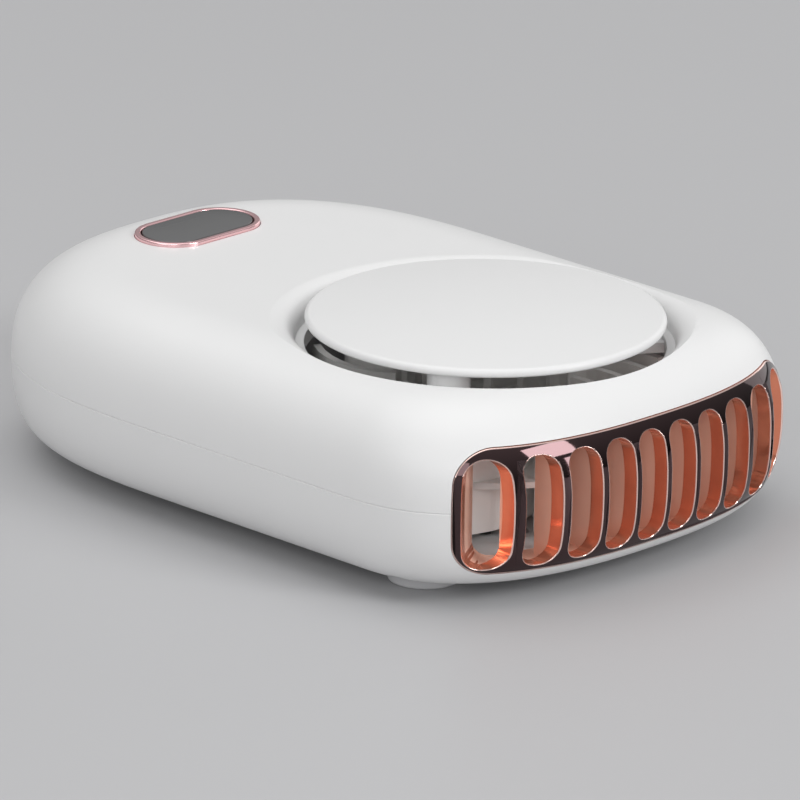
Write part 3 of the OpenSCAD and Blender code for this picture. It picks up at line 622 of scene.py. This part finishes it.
def lug(angle):
    """An arm from the throat's wall, round at its inner end."""
    outward = Vector((math.cos(angle), math.sin(angle)))
    across = Vector((-outward.y, outward.x))

    def place(a, height):
        along = LUG_RADIUS * math.cos(a) + (LUG_LENGTH if math.cos(a) > 0 else 0)
        spot = outward * (POST_CIRCLE + along) + across * LUG_RADIUS * math.sin(a)
        return spot.x, spot.y + FAN_Y, height + FOOT
    return tower("lug", [THROAT_BOTTOM, LUG_TOP], place, 48, white)


for post_angle in POST_ANGLES:
    arm = lug(math.radians(post_angle))
    trim_arm = column("trim_arm", THROAT + LUG_IN_WALL, THROAT_BOTTOM - 1, LUG_TOP + 1,
                      points=96)
    cut(arm, trim_arm, "INTERSECT")
    cut(front, arm, "UNION")
smooth(front)
settle(front, "housing", "white_shell", "front_shell")

# %% [markdown]
# ## The rear shell
# The lower half has the same outline and stands on round feet. Its floor has air slots under
# the fan, screw wells, and a pocket with a steel pin that a neck strap loops round.

# %% Rear shell form
MOTOR_PAD, MOTOR_PAD_RISE = 10.4, 0.8
POCKET_Y = BACK_Y - 7.2
POCKET, POCKET_RISE = (10, 5.2, 6.4), 1.2
BLOCK, BLOCK_RISE = (12.4, 7.6, 9.2), 1
BATTERY, BATTERY_Y = (45.6, 25.6), 25.175
RIB_LONG, RIB_SHORT, RIB_WALL, RIB_LOW, RIB_HIGH = 11.4, 6.4, 1, 0.6, 5.6

skin_levels = edge_levels(0, 0, BOTTOM_REACH, BOTTOM_FULL, BOTTOM_ROWS, SEAM)[::-1]
rear = tower("rear_shell_skin", skin_levels, outline, RING_POINTS, white)
inner_levels = edge_levels(WALL, WALL, BOTTOM_REACH, BOTTOM_FULL, INNER_BOTTOM_ROWS)[::-1]
hollow = tower("hollow", inner_levels + [(PARTING + 1, WALL)], outline, RING_POINTS, white)
for post in SCREW_POSTS:
    cut(hollow, column("post", SCREW_POST, -1, PARTING + 2, points=32, centre=post))
cut(hollow, column("motor_pad", MOTOR_PAD, -1, WALL + MOTOR_PAD_RISE, points=64))
cut(hollow, box_tool("pocket_wall", BLOCK, (0, POCKET_Y, FOOT + BLOCK_RISE)))


def battery_rib(side, end):
    """A low corner rib, an L seen from above, that keeps the battery in place."""
    x, y = BATTERY[0] / 2, BATTERY[1] / 2
    ring = [(x - RIB_LONG, y), (x - RIB_LONG, y + RIB_WALL), (x + RIB_WALL, y + RIB_WALL),
            (x + RIB_WALL, y - RIB_SHORT), (x, y - RIB_SHORT), (x, y)]

    def place(angle, z):
        across, along = ring_point(ring, angle)
        return side * across, BATTERY_Y + end * along, z + FOOT
    return tower("rib", [RIB_LOW, RIB_HIGH], place, len(ring))


for corner in ((-1, -1), (-1, 1), (1, -1), (1, 1)):
    cut(hollow, battery_rib(*corner))
cut(rear, hollow)
print("rear shell hollowed", len(rear.data.polygons))

# %% Cut the pocket, the screw wells, the foot seats and the outlet
HEAD_HOLE, SHANK_HOLE, HEAD_SEAT = 2.15, 1.15, 3
FEET = [(-22.5, FRONT_Y + 20.7), (22.5, FRONT_Y + 20.7), (0, BACK_Y - 15.7)]
FOOT_SEAT, FOOT_SEAT_DEPTH = 4.45, 0.6

cut(rear, box_tool("pocket", POCKET, (0, POCKET_Y, FOOT + POCKET_RISE)))
well_levels = [(-1, HEAD_HOLE), (HEAD_SEAT, HEAD_HOLE), (HEAD_SEAT, SHANK_HOLE),
               (PARTING + 1, SHANK_HOLE)]
for post in SCREW_POSTS:
    cut(rear, round_tower("screw_well", well_levels, points=32, centre=post))
for foot_place in FEET:
    cut(rear, column("foot_seat", FOOT_SEAT, -1, FOOT_SEAT_DEPTH, points=48,
                     centre=foot_place))
cut(rear, grille_window(FIT, white))
print("rear shell cut", len(rear.data.polygons))

# %% Air slots under the fan
VENTS, VENT_INNER, VENT_OUTER, VENT_WIDTH = 24, 11.8, 19.4, 1.8


def vent(angle):
    """A slot with round ends that points away from the fan's axis."""
    def place(a, height):
        half = (VENT_OUTER - VENT_INNER - VENT_WIDTH) / 2
        end = math.copysign(half, math.cos(a))
        along = (VENT_OUTER + VENT_INNER) / 2 + end + VENT_WIDTH / 2 * math.cos(a)
        across = VENT_WIDTH / 2 * math.sin(a)
        return (along * math.cos(angle) - across * math.sin(angle),
                FAN_Y + along * math.sin(angle) + across * math.cos(angle), height + FOOT)
    return tower("vent", [-1, WALL + 1], place, 20, white)


cut(rear, joined([vent(math.tau * i / VENTS) for i in range(VENTS)]))
print("air slots", VENTS)

# %% Scroll wall round the fan
SCROLL_ANGLE, SCROLL_TOP, SCROLL_STEPS = 58.5, 19.2, 72
SCROLL_RADIUS, SCROLL_GROWTH, SCROLL_WALL, SCROLL_SUNK = 27.2, 2, 1, 0.2


def scroll():
    """A wall that opens out round the fan from one side of the outlet to the other."""
    count = 2 * SCROLL_STEPS
    sweep = 360 - 2 * SCROLL_ANGLE

    def place(a, height):
        i = round(a / math.tau * count) % count
        inside = i >= SCROLL_STEPS
        share = (count - 1 - i if inside else i) / (SCROLL_STEPS - 1)
        radius = SCROLL_RADIUS + SCROLL_GROWTH * share + (0 if inside else SCROLL_WALL)
        angle = math.radians(-90 + SCROLL_ANGLE + sweep * share)
        return radius * math.cos(angle), FAN_Y + radius * math.sin(angle), height + FOOT
    return tower("scroll", [WALL - SCROLL_SUNK, SCROLL_TOP], place, count, white)


cut(rear, scroll(), "UNION")
smooth(rear)
settle(rear, "housing", "white_shell", "rear_shell")

# %% [markdown]
# ## The outlet grille
# This curved, plated frame is the piece that shows most. Ten rounded slots run straight in from
# the face, as its mould pulls that way, and behind the face thin upright vanes go on towards
# the fan. It is cut from the same form as the shells, so its face follows them. The edges that
# the cuts leave are then bevelled. Plating shows a bright line there, and here it is a painted
# highlight: the bevels get a brighter copy of the plating.

# %% Grille form
PROUD = 0.15
GRILLE_DEPTH, FACE_DEPTH, VANE = 7, 2.2, 0.6
GRILLE_BOTTOM_ROWS = 20


def body_skin(name, back, material):
    """The whole body's form, grown by how far the grille stands proud and moved back along Y."""
    rows = edge_levels(-PROUD, 0, BOTTOM_REACH, BOTTOM_FULL, GRILLE_BOTTOM_ROWS)[::-1]
    rows += edge_levels(-PROUD, HEIGHT, TOP_REACH, TOP_FULL, TOP_ROWS)[1:]

    def place(angle, level):
        x, y, z = outline(angle, level)
        return x, y + back, z
    return tower(name, rows, place, RING_POINTS, material)


# The face takes the plating painted dark, a painted reflection of a dark floor.
grille = body_skin("grille_frame", 0, rose_face_painted_dark)
# The cut walls take the brighter copper plating, painted light.
cut(grille, grille_window(0, copper_rose_painted_light), "INTERSECT")
behind = tower("behind", [(-1, -PROUD), (HEIGHT + 1, -PROUD)], outline, RING_POINTS, copper_rose_painted_light)
behind.data.transform(Matrix.Translation((0, GRILLE_DEPTH * MM, 0)))
cut(grille, behind)
print("grille blank", len(grille.data.polygons))

# %% Ten slots and the spaces between the vanes
SLOT_MIDDLE = SLOT_LOW + SLOT_HEIGHT / 2
VANE_BACK = FRONT_Y + GRILLE_DEPTH
SPACE_LENGTH = 20

slots, spaces = [], []
for u in [i - LAST for i in range(SLOTS)]:
    width = slot_edge(u, 1) - slot_edge(u, -1)
    beyond = width if abs(u) == LAST else 0
    ring = rounded_ring((width + beyond) / 2, SLOT_HEIGHT / 2, SLOT_CORNER * width,
                        SLOT_STEPS)
    middle = (slot_middle(u) + math.copysign(beyond / 2, u), SLOT_MIDDLE)
    slots.append(through_outlet("slot", ring, middle, copper_rose_painted_light))
    left = -HALF_WIDTH if u == -LAST else (slot_edge(u - 1, 1) + slot_edge(u, -1) + VANE) / 2
    right = HALF_WIDTH if u == LAST else (slot_edge(u, 1) + slot_edge(u + 1, -1) - VANE) / 2
    space_middle = ((left + right) / 2, OUTLET_BACK - SPACE_LENGTH / 2, SLOT_MIDDLE + FOOT)
    spaces.append(box_tool("space", (right - left, SPACE_LENGTH, SLOT_HEIGHT),
                           space_middle, vane_plating_painted_light))
slot_ends = (SLOT_LOW, SLOT_LOW + SLOT_HEIGHT, SLOT_CORNER * width)
all_slots = joined(slots)
between_ends(all_slots, END_RAIL, *slot_ends, copper_rose_painted_light)
cut(grille, all_slots)
deep = box_tool("room_behind", (2 * HALF_WIDTH, OUTLET_BACK - VANE_BACK, SLOT_HEIGHT),
                (0, (OUTLET_BACK + VANE_BACK) / 2, SLOT_MIDDLE + FOOT), vane_plating_painted_light)
cut(deep, joined(spaces), "UNION")
cut(deep, body_skin("face_back", FACE_DEPTH, vane_plating_painted_light), "INTERSECT")
between_ends(deep, END_RAIL, *slot_ends, vane_plating_painted_light)
cut(grille, deep)
print("grille with slots", len(grille.data.polygons))

# %% [markdown]
# ## The grille's edges, with a painted highlight
# A rim is an edge where the face, painted dark, meets a cut wall. Grid points of the face that lie
# close beside a rim would pinch its bevel, so they come out first. The bevel gets a bright finish of
# its own, a painted highlight. The face is made of many flat faces, and a mirror shows each one, so in
# the end every corner of it gets the exact direction of the curved form.


# %% Find the rims and clear the points beside them
RIM_MERGE, RIM_CLEAR = 0.06, 0.5


def rim_of_face(edge):
    """True where the face, in its plating painted dark, meets a cut wall."""
    first, second = (grille.material_slots[face.material_index].material
                     for face in edge.link_faces)
    return first != second and rose_face_painted_dark in (first, second)


def rim_points(mesh):
    """The points on every rim."""
    rims = [edge for edge in mesh.edges if len(edge.link_faces) == 2 and rim_of_face(edge)]
    return {v for edge in rims for v in edge.verts}


def clear_rims():
    """Merges points that crowd on a rim, and takes out the face's points close beside one."""
    pick(grille)
    bpy.ops.object.mode_set(mode="EDIT")
    bpy.ops.mesh.select_all(action="DESELECT")
    mesh = bmesh.from_edit_mesh(grille.data)
    for v in rim_points(mesh):
        v.select_set(True)
    bmesh.update_edit_mesh(grille.data)
    bpy.ops.mesh.remove_doubles(threshold=RIM_MERGE * MM)
    bpy.ops.mesh.select_all(action="DESELECT")
    mesh = bmesh.from_edit_mesh(grille.data)
    rims = rim_points(mesh)
    near = KDTree(len(rims))
    for index, v in enumerate(rims):
        near.insert(v.co, index)
    near.balance()
    close = [v for v in mesh.verts if v not in rims and near.find(v.co)[2] < RIM_CLEAR * MM
             and all(grille.material_slots[face.material_index].material == rose_face_painted_dark
                     for face in v.link_faces)]
    for v in close:
        v.select_set(True)
    bmesh.update_edit_mesh(grille.data)
    bpy.ops.mesh.dissolve_verts()
    bpy.ops.object.mode_set(mode="OBJECT")
    print(len(rims), "rim points kept,", len(close), "points beside them taken out")


clear_rims()


# %% Bevel the rims
RIM_BEVEL, BEVEL_STEPS = 0.14, 3


def bevel_where(piece, width, test, material=-1, clamp=True):
    """Bevels the edges for which test(edge) is true, if need be in a finish of their own."""
    pick(piece)
    bpy.ops.object.mode_set(mode="EDIT")
    bpy.ops.mesh.select_all(action="DESELECT")
    mesh = bmesh.from_edit_mesh(piece.data)
    chosen = [edge for edge in mesh.edges if len(edge.link_faces) == 2 and test(edge)]
    for edge in chosen:
        edge.select_set(True)
    bmesh.update_edit_mesh(piece.data)
    bpy.ops.mesh.bevel(offset=width * MM, segments=BEVEL_STEPS, affect="EDGES",
                       clamp_overlap=clamp, material=material)
    bpy.ops.object.mode_set(mode="OBJECT")
    print(piece.name, "bevelled", len(chosen), "edges")


# The bevels take the brighter plating, a painted highlight.
grille.data.materials.append(edge_rose_painted_highlight)
bevel_where(grille, RIM_BEVEL, rim_of_face, len(grille.data.materials) - 1, clamp=False)
smooth(grille, angle=35)

# %% Give the face its true direction
SLOPE_STEP, NEARLY_ONE = 0.01, 0.9999
TRUE_WITHIN = 0.6


def skin_normal(point):
    """The direction that the body's form faces at a point near its surface."""
    def outside(x, y, z):
        top = z > PARTING
        end, reach, full = (HEIGHT, TOP_REACH, TOP_FULL) if top else (0, BOTTOM_REACH, BOTTOM_FULL)
        rise = min(NEARLY_ONE, abs((z - PARTING) / (end - PARTING))) ** full
        inset = reach * (1 - (1 - rise) ** (1 / full))
        forward = max(0, FRONT_Y + FRONT_ROUND - y) / (FRONT_ROUND - inset)
        return (abs(x) / (HALF_WIDTH - inset)) ** FRONT_SQUARE + forward ** FRONT_SQUARE

    x, y, z = point.x / MM, point.y / MM, point.z / MM - FOOT
    slope = [outside(x + dx, y + dy, z + dz) - outside(x - dx, y - dy, z - dz)
             for dx, dy, dz in ((SLOPE_STEP, 0, 0), (0, SLOPE_STEP, 0), (0, 0, SLOPE_STEP))]
    return Vector(slope).normalized()


def true_face(piece, material):
    """Gives the face of one finish the exact direction of the form, so that it mirrors cleanly."""
    mesh = piece.data
    normals = [Vector(corner.vector) for corner in mesh.corner_normals]
    changed = 0
    for face in mesh.polygons:
        if piece.material_slots[face.material_index].material == material:
            for corner in face.loop_indices:
                normal = skin_normal(mesh.vertices[mesh.loops[corner].vertex_index].co)
                if normal.angle(face.normal) < TRUE_WITHIN:
                    normals[corner] = normal
                    changed += 1
    mesh.normals_split_custom_set(normals)
    print(changed, "corners of the face turned to the true direction")


true_face(grille, rose_face_painted_dark)
settle(grille, "housing", "rose_plating", "outlet_grille")

# %% [markdown]
# ## The floating intake cover
# A shallow white disc hovers over the intake on three posts, so the fan draws its air in all
# round the edge. A lathe profile gives the crowned top and the soft rim.

# %% Cover
COVER, COVER_LOW, COVER_TOP, DOME = 23.1, HEIGHT - 0.1, HEIGHT + 1.05, 0.9
COVER_SOFT, TOP_SOFT = 0.4, 0.65
SOFT_STEPS, TOP_STEPS, DOME_STEPS = 6, 8, 12


def cover_profile():
    """The disc from its underside to its middle, as (height, radius)."""
    levels = [(COVER_LOW, COVER - COVER_SOFT)]
    for i in range(1, SOFT_STEPS + 1):
        t = math.radians(90 * i / SOFT_STEPS)
        levels.append((COVER_LOW + COVER_SOFT * (1 - math.cos(t)),
                       COVER - COVER_SOFT * (1 - math.sin(t))))
    for i in range(TOP_STEPS + 1):
        t = math.radians(90 * i / TOP_STEPS)
        levels.append((COVER_TOP - TOP_SOFT * (1 - math.sin(t)),
                       COVER - TOP_SOFT * (1 - math.cos(t))))
    for i in range(1, DOME_STEPS):
        share = 1 - i / DOME_STEPS
        levels.append((COVER_TOP + DOME * (1 - share ** 2), (COVER - TOP_SOFT) * share))
    return levels


cover = round_tower("cover_disc", cover_profile(), points=160, material=cover_white)
for post_angle in POST_ANGLES:
    a = math.radians(post_angle)
    spot = (POST_CIRCLE * math.cos(a), FAN_Y + POST_CIRCLE * math.sin(a))
    post = column("post", POST_RADIUS, LUG_TOP, COVER_LOW + COVER_SOFT, points=48,
                  centre=spot, material=cover_white)
    cut(cover, post, "UNION")
smooth(cover)
settle(cover, "housing", "white_cover", "intake_cover")

# %% [markdown]
# ## The button and its ring
# The ring is a bright oval band pressed into the shell, and the button inside it is a dark,
# glossy cap, slightly crowned, whose edge is level with the ring.

# %% Ring
RING_TOP, RING_BEVEL = HEIGHT + 0.5, 0.2
HOLE = grown(TRIM, -BAND)
SHARP, SAME_HEIGHT = math.radians(40), 0.01


def sharp_top(edge):
    """True for the ring's sharp upper edges."""
    level = all(abs(v.co.z - (RING_TOP + FOOT) * MM) < SAME_HEIGHT * MM for v in edge.verts)
    return level and edge.calc_face_angle(0) > SHARP


ring = oval_column("button_ring", TRIM, HEIGHT - TRIM_DEPTH, RING_TOP, points=128, material=pink)
cut(ring, oval_column("hole", HOLE, HEIGHT - TRIM_DEPTH - 1, RING_TOP + 1, points=128,
                      material=pink))
bevel_where(ring, RING_BEVEL, sharp_top)
smooth(ring)
settle(ring, "housing", "pink_plating", "button_trim")

# %% Button cap
CAP_GAP, CAP_DEPTH, CAP_CROWN, CAP_RIM = 0.2, 2.9, 0.25, 0.15
CAP_MIDDLE, CAP_RIM_STEPS, CAP_STEPS = 0.05, 4, 10
CAP_SIZE = grown(HOLE, -CAP_GAP)


def cap_levels():
    """The cap's side, rounded rim and crown, as (height, length, width)."""
    levels = [(HEIGHT - CAP_DEPTH, 0)]
    for i in range(CAP_RIM_STEPS + 1):
        t = math.radians(90 * i / CAP_RIM_STEPS)
        levels.append((RING_TOP - CAP_RIM * (1 - math.sin(t)), CAP_RIM * (1 - math.cos(t))))
    for i in range(1, CAP_STEPS + 1):
        share = i / CAP_STEPS
        levels.append((RING_TOP + CAP_CROWN * (1 - (1 - share) ** 2),
                       CAP_RIM + share * (CAP_SIZE[1] / 2 - CAP_RIM - CAP_MIDDLE)))
    return [(height, *grown(CAP_SIZE, -inset)) for height, inset in levels]


cap = oval_tower("button_cap", cap_levels(), points=128, material=button_gloss)
smooth(cap)
settle(cap, "button", "grey_button", "power_button")

# %% [markdown]
# ## Feet
# Three round rubber feet, each with a rounded lower rim, are pressed into shallow seats.

# %% Feet
PAD_RADIUS, PAD_FLAT, PAD_ROUND, PAD_NECK = 4.75, 4.2, 0.45, 4.35
PAD_TOP, PAD_STEPS = -0.02, 5

pad_levels = [(-FOOT, PAD_FLAT)]
for i in range(1, PAD_STEPS + 1):
    t = math.radians(90 * i / PAD_STEPS)
    pad_levels.append((-FOOT + PAD_ROUND * (1 - math.cos(t)),
                       PAD_RADIUS - PAD_ROUND + PAD_ROUND * math.sin(t)))
pad_levels += [(PAD_TOP, PAD_RADIUS), (PAD_TOP, PAD_NECK), (FOOT_SEAT_DEPTH, PAD_NECK)]
pads = joined([round_tower("foot", pad_levels, points=64, centre=foot_place, material=rubber)
               for foot_place in FEET])
pads.name = "rubber_feet"
smooth(pads)
settle(pads, "housing", "foot_rubber", "foot_pads")

# %% [markdown]
# ## The pieces inside
# The motor, the impeller, the board, the socket and the battery keep their CAD meshes. Each
# gets the finish of the real one.

# %% Finishes for the CAD pieces
INSIDE = {
    "switch_plunger": black, "switch_body": sheet_steel, "circuit_board": board,
    "board_chips": chip, "board_screws": steel, "charging_socket": sheet_steel,
    "socket_tongue": black, "battery_cell": foil, "battery_pad": foam, "shell_screws": steel,
    "strap_pin": steel, "motor_base": brass, "motor_board": board, "motor_screws": steel,
    "thrust_washer": nylon, "lower_bearing": bronze, "upper_bearing": bronze,
    "stator_core": core, "stator_coils": wire, "motor_shaft": steel, "magnet_ring": magnet,
    "rotor_cup": sheet_steel, "impeller": fan_plastic,
}
for name, material in INSIDE.items():
    for slot in nodes[name].material_slots:
        slot.material = material
print("dressed", len(INSIDE), "CAD pieces")
